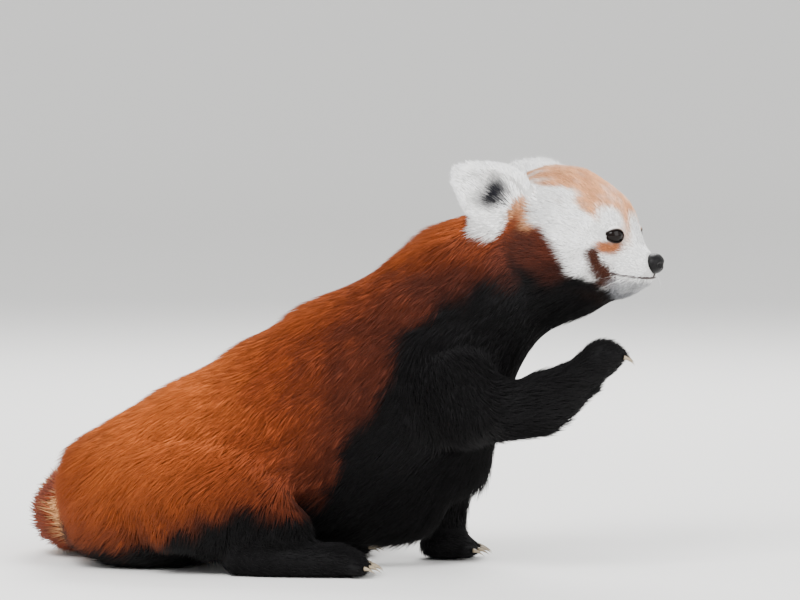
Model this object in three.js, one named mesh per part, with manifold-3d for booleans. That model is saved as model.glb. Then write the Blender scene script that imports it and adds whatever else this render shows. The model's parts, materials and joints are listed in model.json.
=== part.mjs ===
// Life-size red panda sitting on the ground with its right forepaw raised in front of its chest.
// Millimetres. +X is the way the body faces, +Y is its left side and +Z is up.
// The origin lies on the flat patch of rump that the animal sits on, under the middle of its back.
import * as THREE from "three";
import { mergeVertices } from "three/addons/utils/BufferGeometryUtils.js";
import Module from "manifold-3d";

const wasm = await Module();
wasm.setup();

// Driving dimensions
const GAP = 0.3; // between two parts that meet
const ACROSS = new THREE.Vector3(0, 1, 0);
const UPWARD = new THREE.Vector3(0, 0, 1);

const HEAD = { at: [331, -6, 272], turn: -22, nod: 2 }; // turned towards its right, degrees
const EYE = { at: [46.5, 24.5, 6], radius: 8.6 };
const NOSE = { at: [75.5, 0, -16.5], long: 7, wide: 9.5, tall: 7.5 };
const EAR = { at: [-24, 50, 22], tall: 38, wide: 30, deep: 14, wall: 5, lean: 56, open: 62, taper: 0.5 };
const MOUTH = { corner: 34, front: 46, half: 34, depth: 13, gap: 2.4, drop: 9, z: -27.5 };

// Middle line of the body from rump to neck: place, half width and half height across the line
const TORSO = [
  { at: [-98, 0, 52], wide: 30, tall: 34 },
  { at: [-72, 0, 56], wide: 66, tall: 57 },
  { at: [-32, 0, 62], wide: 80, tall: 68 },
  { at: [12, 0, 75], wide: 86, tall: 81 },
  { at: [62, 0, 93], wide: 86, tall: 88 },
  { at: [109, 0, 107], wide: 83, tall: 100 },
  { at: [150, 0, 123], wide: 80, tall: 111 },
  { at: [188, 0, 149], wide: 78, tall: 105 },
  { at: [219, 0, 187], wide: 75, tall: 90 },
  { at: [250, 0, 214], wide: 64, tall: 76 },
  { at: [268, 0, 232], wide: 44, tall: 54 },
];
const NECK = [
  { at: [205, 0, 186], wide: 52, tall: 60 },
  { at: [236, -1, 214], wide: 66, tall: 77 },
  { at: [271, -2, 237], wide: 62, tall: 72 },
  { at: [300, -4, 259], wide: 56, tall: 61 },
  { at: [322, -5, 272], wide: 44, tall: 46 },
];
// The full fur of the throat, under the jaw
const THROAT = { at: [327, -8, 233], long: 43, wide: 50, tall: 29 };
// Head from nape to muzzle, in its own frame: +X to the nose, +Z up
const SKULL = [
  { x: -50, top: 26, bottom: 2, wide: 14 },
  { x: -42, top: 50, bottom: -18, wide: 42 },
  { x: -24, top: 60, bottom: -36, wide: 60 },
  { x: 0, top: 62, bottom: -45, wide: 69 },
  { x: 20, top: 57, bottom: -49, wide: 67 },
  { x: 35, top: 47, bottom: -51, wide: 55 },
  { x: 45, top: 40, bottom: -50, wide: 42 },
  { x: 53, top: 31, bottom: -47, wide: 31 },
  { x: 59, top: 16, bottom: -44, wide: 24 },
  { x: 65, top: 2, bottom: -39, wide: 19.5 },
  { x: 72, top: -7, bottom: -34, wide: 15.5 },
  { x: 77, top: -13, bottom: -29, wide: 9 },
];
// Where the face is pushed in or drawn out, the same on both sides
const FACE = [
  { at: [48, 27, 6], reach: 13, push: [-5, -3, 0] }, // eye hollow
  { at: [46, 24, 23], reach: 11, push: [3, 1, 1.5] }, // brow
  { at: [34, 50, -14], reach: 20, push: [-2, 2, 0] }, // cheek
  { at: [-4, 66, -20], reach: 26, push: [-9, 5, -7] }, // ruff behind the cheek
  { at: [66, 14, -25], reach: 9, push: [1.5, 3.5, -1.5] }, // whisker pad
  { at: [66, 0, 2], reach: 9, push: [-1.5, 0, -1.5] }, // dip of the nose bridge
];

const THIGH = [
  { at: [-48, 46, 56], wide: 22, tall: 28 },
  { at: [-12, 62, 66], wide: 36, tall: 56 },
  { at: [34, 72, 66], wide: 36, tall: 55 },
  { at: [80, 80, 58], wide: 31, tall: 46 },
  { at: [122, 84, 46], wide: 17, tall: 22 },
];
const SHANK = [
  { at: [118, 84, 52], wide: 16, tall: 18 },
  { at: [96, 84, 40], wide: 24, tall: 26 },
  { at: [66, 80, 26], wide: 22, tall: 22 },
  { at: [48, 78, 18], wide: 14, tall: 14 },
];
const HIND_FOOT = [
  { at: [42, 78, 14], wide: 14, tall: 12 },
  { at: [68, 79, 15], wide: 22, tall: 18 },
  { at: [110, 82, 14], wide: 25, tall: 17 },
  { at: [146, 84, 12], wide: 27, tall: 15 },
  { at: [164, 85, 9], wide: 20, tall: 9 },
];
const PLANTED_ARM = [
  { at: [196, 46, 186], wide: 30, tall: 34 },
  { at: [206, 60, 150], wide: 32, tall: 42 },
  { at: [212, 64, 112], wide: 30, tall: 38 },
  { at: [225, 60, 72], wide: 27, tall: 34 },
  { at: [229, 56, 38], wide: 25, tall: 27 },
  { at: [228, 54, 14], wide: 22, tall: 20 },
];
const RAISED_ARM = [
  { at: [202, -44, 186], wide: 28, tall: 34 },
  { at: [232, -60, 158], wide: 33, tall: 42 },
  { at: [266, -70, 126], wide: 33, tall: 38 },
  { at: [298, -72, 136], wide: 30, tall: 32 },
  { at: [324, -68, 151], wide: 26, tall: 27 },
  { at: [342, -63, 163], wide: 22, tall: 23 },
  { at: [356, -60, 174], wide: 19, tall: 20 },
];
const FORE_PAW = { long: 25, wide: 24, tall: 14 };
const RAISED_PAW = { at: [354, -60, 175], long: 21, wide: 19, tall: 17, lift: 38 };
const TOE = { long: 11, wide: 6.2, tall: 7, count: 5, fan: 15 };
const CLAW = { long: 12, radius: 1.9, hook: 5 };

// Middle line of the tail: wide is half its height here, and tall half its breadth
const TAIL = [
  { at: [-58, 10, 45], wide: 26, tall: 26 },
  { at: [-80, 48, 38], wide: 38, tall: 37 },
  { at: [-86, 94, 38], wide: 43, tall: 42 },
  { at: [-72, 142, 40], wide: 46, tall: 44 },
  { at: [-34, 178, 41], wide: 47, tall: 45 },
  { at: [18, 196, 41], wide: 47, tall: 45 },
  { at: [72, 198, 40], wide: 46, tall: 44 },
  { at: [122, 188, 37], wide: 43, tall: 41 },
  { at: [162, 168, 30], wide: 35, tall: 33 },
  { at: [186, 148, 20], wide: 22, tall: 20 },
];
const TAIL_PARTS = 3;

// The long coat in locks. depth is from the tips in to the skin, and the core fills half of it.
// rows and around count the locks along and round a form, long, wide and thick are one lock's sizes,
// and way is 1 where the hair lies along the form's line and -1 where it lies against it.
const COAT = {
  torso: { depth: 20, rows: 6, around: 8, long: 80, wide: 52, thick: 3, from: 0.14, to: 0.95, way: -1 },
  neck: { depth: 16, rows: 2, around: 6, long: 46, wide: 42, thick: 3, from: 0.42, to: 0.86, way: -1 },
  tail: { depth: 22, rows: 3, around: 5, long: 58, wide: 30, thick: 3, from: 0.02, to: 0.9, way: 1 },
  thigh: { depth: 12, rows: 2, around: 5, long: 52, wide: 32, thick: 2.6, from: 0.12, to: 0.62, way: 1 },
  arm: { depth: 10, rows: 2, around: 4, long: 46, wide: 28, thick: 2.4, from: 0.18, to: 0.62, way: 1 },
};
// Locks of the ruff on each cheek, from the ear down: place of the root and of the tip
const RUFF = [
  { root: [2, 52, 16], tip: [-38, 63, 6] },
  { root: [8, 56, 2], tip: [-38, 69, -10] },
  { root: [14, 54, -12], tip: [-30, 70, -27] },
  { root: [20, 46, -24], tip: [-16, 62, -41] },
];
const RUFF_LOCK = { wide: 24, thick: 5 };

// Finishes
const coat = (colour) => new THREE.MeshStandardMaterial({ color: colour, roughness: 0.85, metalness: 0 });
const redCoat = coat(0xa8501f);
const blackCoat = coat(0x17120f);
const paleCoat = coat(0xe9e2d8);
const ringedCoat = coat(0xb5683a);
const wetBlack = new THREE.MeshStandardMaterial({ color: 0x0b0a0a, roughness: 0.25, metalness: 0 });

// A closed three.js geometry as a solid that can be joined and cut
function solid(geometry) {
  const bare = geometry.clone();
  bare.deleteAttribute("normal");
  bare.deleteAttribute("uv");
  const merged = mergeVertices(bare, 1e-3);
  return new wasm.Manifold(
    new wasm.Mesh({
      numProp: 3,
      vertProperties: new Float32Array(merged.attributes.position.array),
      triVerts: new Uint32Array(merged.index.array),
    }),
  );
}

function joined(solids) {
  return solids.reduce((sum, next) => sum.add(next));
}

function cutBy(body, ...cutters) {
  return cutters.reduce((left, next) => left.subtract(next), body);
}

function largest(body) {
  return body.decompose().reduce((best, next) => (next.volume() > best.volume() ? next : best));
}

// Rings of vertices closed at both ends, turned to face outwards
function ringSurface(rings, firstEnd, lastEnd) {
  const sides = rings[0].length;
  const points = [firstEnd, ...rings.flat(), lastEnd];
  const last = points.length - 1;
  const faces = [];
  for (let j = 0; j < sides; j++) {
    const next = (j + 1) % sides;
    faces.push([0, 1 + next, 1 + j]);
    faces.push([last, last - sides + j, last - sides + next]);
    for (let i = 0; i + 1 < rings.length; i++) {
      const a = 1 + i * sides;
      const b = a + sides;
      faces.push([a + j, a + next, b + j]);
      faces.push([a + next, b + next, b + j]);
    }
  }
  let volume = 0;
  for (const [a, b, c] of faces) volume += points[a].dot(points[b].clone().cross(points[c]));
  const facing = volume < 0 ? faces.map(([a, b, c]) => [a, c, b]) : faces;
  const geometry = new THREE.BufferGeometry().setFromPoints(points);
  geometry.setIndex(facing.flat());
  return geometry;
}

// A tube of ellipses along a smooth line. blunt is the share of the line that rounds off each end,
// and 0 leaves that end flat.
function tube(stations, { blunt = [0.16, 0.16], upright = false, sideways = ACROSS, shape } = {}) {
  const outline = shape ?? ((angle) => [Math.cos(angle), Math.sin(angle)]);
  const line = new THREE.CatmullRomCurve3(
    stations.map((s) => new THREE.Vector3(...s.at)), false, "centripetal");
  const girth = new THREE.CatmullRomCurve3(
    stations.map((s) => new THREE.Vector3(s.wide, s.tall, 0)), false, "centripetal");
  const rounding = (t) => {
    const nearStart = blunt[0] > 0 ? Math.min(1, t / blunt[0]) : 1;
    const nearEnd = blunt[1] > 0 ? Math.min(1, (1 - t) / blunt[1]) : 1;
    return Math.sqrt(1 - (1 - nearStart) ** 2) * Math.sqrt(1 - (1 - nearEnd) ** 2);
  };
  const frameAt = (t) => {
    const along = upright ? new THREE.Vector3(1, 0, 0) : line.getTangent(t).normalize();
    const across = sideways.clone().addScaledVector(along, -sideways.dot(along)).normalize();
    return { along, across, up: along.clone().cross(across) };
  };
  // The place on the tube at a share of its line and an angle round it, grow outside the surface
  const pointAt = (t, angle, grow = 0) => {
    const { across, up } = frameAt(t);
    const half = girth.getPoint(t);
    const [c, s] = outline(angle);
    return line
      .getPoint(t)
      .addScaledVector(across, (half.x * rounding(t) + grow) * c)
      .addScaledVector(up, (half.y * rounding(t) + grow) * s);
  };
  return { line, length: line.getLength(), rounding, frameAt, pointAt };
}

// The tube's surface. from and to take only a stretch of the line.
function loft(stations, options = {}) {
  const { sides = 20, steps = 16, grow = 0, from = 0, to = 1 } = options;
  const { line, rounding, frameAt, pointAt } = tube(stations, options);
  const closer = 0.75 / (2 * Math.PI); // rings stand closer together near the two ends
  const rings = [];
  for (let i = 0; i <= steps; i++) {
    const share = i / steps;
    const t = from + (to - from) * (share - closer * Math.sin(2 * Math.PI * share));
    if (rounding(t) <= 0.02) continue;
    rings.push(Array.from({ length: sides }, (_, j) => pointAt(t, (j / sides) * 2 * Math.PI, grow)));
  }
  const beyond = (t) => (t > 0 && t < 1 ? 0 : grow); // a stretch ends in a flat cut
  const endAt = (t, side) => line.getPoint(t).addScaledVector(frameAt(t).along, side * beyond(t));
  return ringSurface(rings, endAt(from, -1), endAt(to, 1));
}

// The form inside a coat: thinner all round, and shorter at its two ends
function slimmed(stations, depth) {
  const last = stations.length - 1;
  return stations.map(({ at, wide, tall }, i) => {
    const place = new THREE.Vector3(...at);
    const inner = new THREE.Vector3(...stations[i === last ? last - 1 : Math.min(i + 1, last)].at);
    if (i === 0 || i === last) place.addScaledVector(inner.sub(place).normalize(), depth);
    return { at: place.toArray(), wide: Math.max(3, wide - depth), tall: Math.max(3, tall - depth) };
  });
}

// The same draws every time, from 0 to 1
function seeded(seed) {
  let state = seed;
  return () => {
    state = (Math.imul(state, 1664525) + 1013904223) >>> 0;
    return state / 4294967296;
  };
}

// A flat blade of four sides through some places, widest in the middle and drawn out to its tip
function blade(places, sides, normals, { wide, thick }) {
  const widths = [0.5, 1, 0.72];
  const rings = widths.map((share, i) => {
    const half = sides[i].clone().multiplyScalar((wide / 2) * share);
    const rise = normals[i].clone().multiplyScalar((thick / 2) * (0.6 + 0.4 * share));
    return [half, rise, half.clone().negate(), rise.clone().negate()].map((v) => v.add(places[i]));
  });
  return ringSurface(rings, places[0], places[3]);
}

// Locks in staggered rows over a tube, each from inside the core out along the lie to its tip
function locksOn(stations, options, coat, seed) {
  const { pointAt, frameAt, length } = tube(stations, options);
  const { depth, rows, around, long, way } = coat;
  const draw = seeded(seed);
  const vary = (share) => 1 + share * (2 * draw() - 1);
  const deep = [-depth / 2 - 5, -depth * 0.38, -depth * 0.19, -2.2];
  const locks = [];
  for (let i = 0; i < rows; i++) {
    for (let j = 0; j < around; j++) {
      const start = coat.from + ((coat.to - coat.from) * (i + 0.3 * draw())) / rows;
      const turn = ((j + (i % 2) * 0.5 + 0.25 * draw()) / around) * 2 * Math.PI;
      const reach = (way * long * vary(0.12)) / length;
      const bend = 0.16 * (2 * draw() - 1);
      const at = [0, 0.34, 0.68, 1].map((share) => ({
        t: THREE.MathUtils.clamp((way > 0 ? start : 1 - start) + reach * share, 0.02, 0.985),
        angle: turn + bend * share * share,
      }));
      const places = at.map(({ t, angle }, k) => pointAt(t, angle, deep[k]));
      const normals = at.map(({ t, angle }) => pointAt(t, angle, 1).sub(pointAt(t, angle, 0)).normalize());
      const sides = at.map(({ t }, k) => frameAt(t).along.cross(normals[k]).normalize());
      const size = { wide: coat.wide * vary(0.15), thick: coat.thick };
      locks.push(solid(blade(places, sides, normals, size)));
    }
  }
  return joined(locks);
}

// The same locks, with what stands out of the form's own outline shaved off
function locksWithin(stations, shape, coat, seed) {
  return locksOn(stations, shape, coat, seed).intersect(solid(loft(stations, { ...shape, grow: 2 })));
}

// The same line on the other side of the body
const mirrored = (stations) => stations.map((s) => ({ ...s, at: [s.at[0], -s.at[1], s.at[2]] }));

function ellipsoid([x, y, z], [a, b, c], turn = [0, 0, 0], detail = [20, 14]) {
  return new THREE.SphereGeometry(1, ...detail)
    .scale(a, b, c)
    .applyMatrix4(new THREE.Matrix4().makeRotationFromEuler(new THREE.Euler(...turn)))
    .translate(x, y, z);
}

// Everything above the ground, which cuts a flat under whatever reaches lower
const ABOVE_GROUND = solid(new THREE.BoxGeometry(2000, 2000, 2000).translate(0, 0, 1000));

const degrees = (angle) => THREE.MathUtils.degToRad(angle);
const headFrame = new THREE.Matrix4()
  .makeTranslation(...HEAD.at)
  .multiply(new THREE.Matrix4().makeRotationZ(degrees(HEAD.turn)))
  .multiply(new THREE.Matrix4().makeRotationY(degrees(HEAD.nod)));

function skullGeometry(grow = 0) {
  const stations = SKULL.map(({ x, top, bottom, wide }) => ({
    at: [x, 0, (top + bottom) / 2],
    wide,
    tall: (top - bottom) / 2,
  }));
  const cheekLow = (angle) => [Math.cos(angle) * (1 - 0.1 * Math.sin(angle)), Math.sin(angle)];
  const geometry = loft(stations, {
    sides: 20, steps: 15, blunt: [0.08, 0.09], upright: true, shape: cheekLow, grow,
  });
  const place = geometry.attributes.position;
  const point = new THREE.Vector3();
  for (let i = 0; i < place.count; i++) {
    point.fromBufferAttribute(place, i);
    const moved = point.clone();
    for (const { at, reach, push } of FACE) {
      for (const side of [1, -1]) {
        const distance = point.distanceTo(new THREE.Vector3(at[0], at[1] * side, at[2]));
        const share = Math.exp(-((distance / reach) ** 2));
        moved.add(new THREE.Vector3(push[0], push[1] * side, push[2]).multiplyScalar(share));
      }
    }
    place.setXYZ(i, moved.x, moved.y, moved.z);
  }
  return geometry;
}

function eyeGeometry(side, grow = 0) {
  const [x, y, z] = EYE.at;
  const r = EYE.radius + grow;
  return ellipsoid([x, y * side, z], [r, r, r], [0, 0, 0], [14, 8]);
}

// The rim of skin round an eye
function lidGeometry(side) {
  const [x, y, z] = EYE.at;
  return new THREE.TorusGeometry(EYE.radius * 0.8, 1.7, 4, 12)
    .scale(1.12, 0.82, 1)
    .rotateY(Math.PI / 2)
    .rotateZ(side * degrees(34))
    .translate(x + 4.6, side * (y + 3), z);
}

function noseGeometry(grow = 0) {
  const { at, long, wide, tall } = NOSE;
  return ellipsoid(at, [long + grow, wide + grow, tall + grow], [0, 0, 0], [12, 8]);
}

function nostrilGeometry(side) {
  const [x, y, z] = NOSE.at;
  const at = [x + NOSE.long * 0.8, y + side * 4.4, z - 0.5];
  return ellipsoid(at, [3.4, 1.7, 1.5], [0, 0, side * 0.5], [8, 6]);
}

// The thin curved space between the lips
function mouthGeometry() {
  const { corner, front, half, depth, gap, drop, z } = MOUTH;
  const lips = new THREE.Shape();
  lips.absellipse(0, 0, front, half, -Math.PI / 2, Math.PI / 2, false);
  lips.absellipse(0, 0, front - depth - 8, half - depth, Math.PI / 2, -Math.PI / 2, true);
  lips.closePath();
  return new THREE.ExtrudeGeometry(lips, { depth: gap, bevelEnabled: false, curveSegments: 8 })
    .translate(0, 0, -gap / 2)
    .rotateY(degrees(drop))
    .translate(corner, 0, z);
}

// An ear is a cup: a rounded shell, open towards its hollow side
function earFrame(side) {
  const { at, lean, open } = EAR;
  return new THREE.Matrix4()
    .makeTranslation(at[0], side * at[1], at[2])
    .multiply(new THREE.Matrix4().makeRotationX(-side * degrees(28)))
    .multiply(new THREE.Matrix4().makeRotationY(-degrees(lean)))
    .multiply(new THREE.Matrix4().makeRotationZ(side * degrees(open)));
}

// A rounded form that is broad at the root of the ear and drawn in to its tip
function earForm(centre, radii, detail) {
  const geometry = ellipsoid(centre, radii, [0, 0, 0], detail);
  const place = geometry.attributes.position;
  for (let i = 0; i < place.count; i++) {
    const height = place.getZ(i) / (EAR.tall * 1.72);
    place.setY(i, place.getY(i) * (1.12 - EAR.taper * height));
  }
  return geometry;
}

function earOutside(side, grow = 0) {
  const { tall, wide, deep } = EAR;
  return earForm([0, 0, tall * 0.72], [deep + grow, wide + grow, tall + grow], [13, 9])
    .applyMatrix4(earFrame(side));
}

function earSolid(side) {
  const { tall, wide, deep, wall } = EAR;
  const hollow = earForm([deep * 0.9, 0, tall * 0.72], [deep * 1.3, wide - wall, tall - wall], [11, 7])
    .applyMatrix4(earFrame(side));
  return solid(earOutside(side)).subtract(solid(hollow));
}

// Toes and claws in a fan round the end of a paw, in the paw's own frame with +X to the toes
function toeSolids(paw, frame, curl = 0) {
  const pieces = [];
  for (let i = 0; i < TOE.count; i++) {
    const share = i / (TOE.count - 1) - 0.5;
    const turn = degrees(share * 2 * TOE.fan);
    const reach = paw.long * (1 - 0.5 * share * share);
    const toe = ellipsoid([0, 0, 0], [TOE.long, TOE.wide, TOE.tall], [0, 0, 0], [6, 4])
      .rotateY(curl)
      .translate(reach - 4, 0, -paw.tall * 0.3)
      .rotateZ(turn)
      .translate(0, share * paw.wide * 1.35, 0)
      .applyMatrix4(frame);
    const claw = clawGeometry()
      .rotateY(curl)
      .translate(reach + TOE.long * 0.35, 0, -paw.tall * 0.3 + 1.5)
      .rotateZ(turn)
      .translate(0, share * paw.wide * 1.35, 0)
      .applyMatrix4(frame);
    pieces.push(solid(toe), solid(claw));
  }
  return pieces;
}

function clawGeometry() {
  const { long, radius, hook } = CLAW;
  const stations = [
    { at: [0, 0, 0], wide: radius * 0.8, tall: radius },
    { at: [long * 0.55, 0, -0.8], wide: radius * 0.6, tall: radius * 0.8 },
    { at: [long, 0, -hook], wide: 0.25, tall: 0.25 },
  ];
  return loft(stations, { sides: 4, steps: 2, blunt: [0, 0] });
}

// How each form's tube is drawn, the same for its core, its coat and the room it takes
const SHAPE = {
  torso: { sides: 18, steps: 12, blunt: [0.07, 0.12] },
  neck: { sides: 16, steps: 7, blunt: [0.2, 0.2] },
  thigh: { sides: 12, steps: 8, blunt: [0.35, 0.35] },
  arm: { sides: 12, steps: 8, blunt: [0.15, 0.1] },
  tail: { sides: 12, steps: 5, blunt: [0, 0.12], sideways: UPWARD },
};
const LOCK_ROOM = 3.5; // locks end this far from what lies over them
const room = (stations, shape) => solid(loft(stations, { ...shape, grow: LOCK_ROOM }));
const core = (stations, shape, { depth }) => solid(loft(slimmed(stations, depth / 2), shape));

const torsoCoreRoom = solid(loft(slimmed(TORSO, COAT.torso.depth / 2), { ...SHAPE.torso, grow: GAP }));
const neckCoreRoom = solid(loft(slimmed(NECK, COAT.neck.depth / 2), { ...SHAPE.neck, grow: GAP }));
const headRoom = solid(skullGeometry(GAP).applyMatrix4(headFrame));
const earRooms = [1, -1].map((side) => solid(earOutside(side, GAP).applyMatrix4(headFrame)));
// The rump pressed flat on the ground
const seatPad = (grow) =>
  solid(ellipsoid([-14, 0, 20], [60 + grow, 46 + grow, 24 + grow], [0, 0, 0], [16, 10]));
const seatRoom = seatPad(GAP);

// Locks of the ruff, in the head's own frame
function ruffSolids(side) {
  return RUFF.map(({ root, tip }) => {
    const from = new THREE.Vector3(root[0], side * root[1], root[2]);
    const to = new THREE.Vector3(tip[0], side * tip[1], tip[2]);
    const out = new THREE.Vector3(0, side, 0);
    const along = to.clone().sub(from).normalize();
    const sideways = along.clone().cross(out).normalize();
    const bow = [-0.12, 0.34, 0.68, 1].map((share) =>
      from.clone().lerp(to, share).addScaledVector(out, 5 * Math.sin(Math.PI * Math.max(0, share))));
    return solid(blade(bow, bow.map(() => sideways), bow.map(() => out), RUFF_LOCK));
  });
}

function headSolid() {
  const lids = [lidGeometry(1), lidGeometry(-1)].map(solid);
  const skin = joined([solid(skullGeometry()), ...lids, ...ruffSolids(1), ...ruffSolids(-1)]);
  const rooms = [eyeGeometry(1, GAP), eyeGeometry(-1, GAP), noseGeometry(GAP), mouthGeometry()].map(solid);
  return cutBy(skin, ...rooms);
}

function hindLeg(side) {
  const placed = (stations) => (side > 0 ? stations : mirrored(stations));
  const pawFrame = new THREE.Matrix4()
    .makeTranslation(136, side * 84, 12)
    .multiply(new THREE.Matrix4().makeRotationZ(side * degrees(3)));
  return joined([
    core(placed(THIGH), SHAPE.thigh, COAT.thigh),
    locksWithin(placed(THIGH), SHAPE.thigh, COAT.thigh, 40 + side),
    solid(loft(placed(SHANK), { sides: 8, steps: 4, blunt: [0.2, 0.2] })),
    solid(loft(placed(HIND_FOOT), { sides: 12, steps: 5, blunt: [0.15, 0.15] })),
    ...toeSolids({ long: 28, wide: 24, tall: 16 }, pawFrame),
  ]);
}

function plantedArm() {
  const frame = new THREE.Matrix4().makeTranslation(230, 53, 12).multiply(
    new THREE.Matrix4().makeRotationZ(degrees(-6)));
  const paw = ellipsoid([0, 0, 0], [FORE_PAW.long, FORE_PAW.wide, FORE_PAW.tall], [0, 0, 0], [12, 7])
    .applyMatrix4(frame);
  return joined([
    core(PLANTED_ARM, SHAPE.arm, COAT.arm),
    locksWithin(PLANTED_ARM, SHAPE.arm, COAT.arm, 51),
    solid(paw),
    ...toeSolids(FORE_PAW, frame),
  ]);
}

function raisedArm() {
  const { at, long, wide, tall, lift } = RAISED_PAW;
  const frame = new THREE.Matrix4()
    .makeTranslation(...at)
    .multiply(new THREE.Matrix4().makeRotationZ(degrees(10)))
    .multiply(new THREE.Matrix4().makeRotationY(-degrees(lift)));
  const paw = ellipsoid([0, 0, 0], [long, wide, tall], [0, 0, 0], [12, 7]).applyMatrix4(frame);
  return joined([
    core(RAISED_ARM, SHAPE.arm, COAT.arm),
    locksWithin(RAISED_ARM, SHAPE.arm, COAT.arm, 52),
    solid(paw),
    ...toeSolids({ long: 17, wide: 18, tall: 14 }, frame, degrees(50)),
  ]);
}

const root = new THREE.Group();
root.name = "red_panda";

function addNode(name, body, material, frame) {
  const whole = frame ? body : largest(body.intersect(ABOVE_GROUND));
  const { vertProperties, triVerts, numProp, numVert } = whole.getMesh();
  const points = new Float32Array(numVert * 3);
  for (let i = 0; i < numVert; i++) {
    points.set(vertProperties.subarray(i * numProp, i * numProp + 3), i * 3);
  }
  const geometry = new THREE.BufferGeometry();
  geometry.setAttribute("position", new THREE.BufferAttribute(points, 3));
  geometry.setIndex(new THREE.BufferAttribute(new Uint32Array(triVerts), 1));
  geometry.computeVertexNormals();
  if (frame) geometry.applyMatrix4(frame);
  const mesh = new THREE.Mesh(geometry, material);
  mesh.name = name;
  root.add(mesh);
  return mesh;
}

const legs = {
  hind_left: hindLeg(1),
  hind_right: hindLeg(-1),
  fore_left: plantedArm(),
  fore_right: raisedArm(),
};
const hindParts = [THIGH, SHANK, HIND_FOOT];
const legRooms = [
  ...[...hindParts, ...hindParts.map(mirrored)].map((part) => room(part, SHAPE.thigh)),
  room(PLANTED_ARM, SHAPE.arm),
  room(RAISED_ARM, SHAPE.arm),
];
const tailRoom = room(TAIL, { ...SHAPE.tail, steps: 18 });

// Locks give way to what lies over them, and the core under them doesn't
const torsoLocks = cutBy(
  locksOn(TORSO, SHAPE.torso, COAT.torso, 11), room(NECK, SHAPE.neck), tailRoom, ...legRooms);
const torso = joined([core(TORSO, SHAPE.torso, COAT.torso), seatPad(0), torsoLocks]);
const neckLocks = cutBy(locksOn(NECK, SHAPE.neck, COAT.neck, 12), ...legRooms);
const throat = solid(ellipsoid(THROAT.at, [THROAT.long, THROAT.wide, THROAT.tall], [0, 0, 0], [16, 10]));
const neck = joined([core(NECK, SHAPE.neck, COAT.neck), throat, neckLocks]);

const ruffRooms = [1, -1].flatMap(ruffSolids).map((lock) => lock.transform(headFrame.elements));
addNode("torso", cutBy(torso, headRoom, ...earRooms), redCoat);
addNode("neck", cutBy(neck, torsoCoreRoom, headRoom, ...earRooms, ...ruffRooms), redCoat);
addNode("head", largest(headSolid()), paleCoat, headFrame);
const nostrils = [nostrilGeometry(1), nostrilGeometry(-1)].map(solid);
addNode("nose", cutBy(solid(noseGeometry()), ...nostrils), wetBlack, headFrame);
for (const [name, side] of [["left", 1], ["right", -1]]) {
  addNode(`eye_${name}`, solid(eyeGeometry(side)), wetBlack, headFrame);
  const ear = cutBy(earSolid(side), solid(skullGeometry(GAP)), ...ruffSolids(side));
  addNode(`ear_${name}`, largest(ear), paleCoat, headFrame);
  addNode(`hindleg_${name}`, cutBy(legs[`hind_${name}`], torsoCoreRoom, seatRoom), blackCoat);
  addNode(`foreleg_${name}`, cutBy(legs[`fore_${name}`], torsoCoreRoom, neckCoreRoom), blackCoat);
}

// The tail is cut across into lengths, and each keeps the locks that are rooted in it
const tailLine = tube(TAIL, SHAPE.tail);
const seam = GAP / 2 / tailLine.length;
for (let i = 0; i < TAIL_PARTS; i++) {
  const stretch = {
    from: i / TAIL_PARTS + (i ? seam : 0),
    to: (i + 1) / TAIL_PARTS - (i + 1 < TAIL_PARTS ? seam : 0),
  };
  const inside = solid(loft(TAIL, { ...SHAPE.tail, ...stretch, grow: 2 }));
  const length = core(TAIL, { ...SHAPE.tail, steps: 18 }, COAT.tail);
  const span = stretch.to - stretch.from;
  const coat = {
    ...COAT.tail,
    from: stretch.from + span * COAT.tail.from,
    to: Math.min(stretch.to, COAT.tail.to),
  };
  const body = joined([length, locksOn(TAIL, SHAPE.tail, coat, 60 + i)]).intersect(inside);
  addNode(`tail_${i + 1}`, cutBy(body, torsoCoreRoom, seatRoom), ringedCoat);
}

export default root;
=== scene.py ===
import bpy
import json
import math
import numpy as np
from mathutils import Matrix, Vector, kdtree
from mathutils.bvhtree import BVHTree

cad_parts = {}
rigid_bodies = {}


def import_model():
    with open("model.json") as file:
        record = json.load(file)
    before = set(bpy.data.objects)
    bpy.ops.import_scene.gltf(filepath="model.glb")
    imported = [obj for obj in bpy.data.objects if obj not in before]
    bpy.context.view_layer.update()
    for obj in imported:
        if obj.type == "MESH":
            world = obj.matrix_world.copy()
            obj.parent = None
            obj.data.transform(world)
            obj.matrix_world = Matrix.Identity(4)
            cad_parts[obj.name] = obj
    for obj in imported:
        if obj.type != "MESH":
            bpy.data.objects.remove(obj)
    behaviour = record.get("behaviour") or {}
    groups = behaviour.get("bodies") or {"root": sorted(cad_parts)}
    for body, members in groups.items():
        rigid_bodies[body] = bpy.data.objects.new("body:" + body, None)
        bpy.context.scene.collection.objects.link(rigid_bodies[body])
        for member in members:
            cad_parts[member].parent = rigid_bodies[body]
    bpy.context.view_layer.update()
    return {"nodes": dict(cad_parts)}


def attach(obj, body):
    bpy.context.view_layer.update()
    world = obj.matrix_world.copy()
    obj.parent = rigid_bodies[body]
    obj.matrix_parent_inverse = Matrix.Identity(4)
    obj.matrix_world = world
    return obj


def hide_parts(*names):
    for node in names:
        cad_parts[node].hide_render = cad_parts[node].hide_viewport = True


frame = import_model()
nodes = frame["nodes"]
print("frame loaded:", len(nodes), "nodes")

# Where the head sits and how it is turned, as in the solids
head = {
    "at": (0.331, -0.006, 0.272), "turn": -22, "nod": 2,
    "eye": (0.0465, 0.0245, 0.006), "eyeRadius": 0.0086,
    "nose": (0.0755, 0.0, -0.0165), "noseSize": (0.0070, 0.0095, 0.0075),
}
headMatrix = (Matrix.Translation(head["at"])
              @ Matrix.Rotation(math.radians(head["turn"]), 4, "Z")
              @ Matrix.Rotation(math.radians(head["nod"]), 4, "Y"))
headTurn = np.array(headMatrix.to_3x3())
headPlace = np.array(headMatrix.translation)


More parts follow.
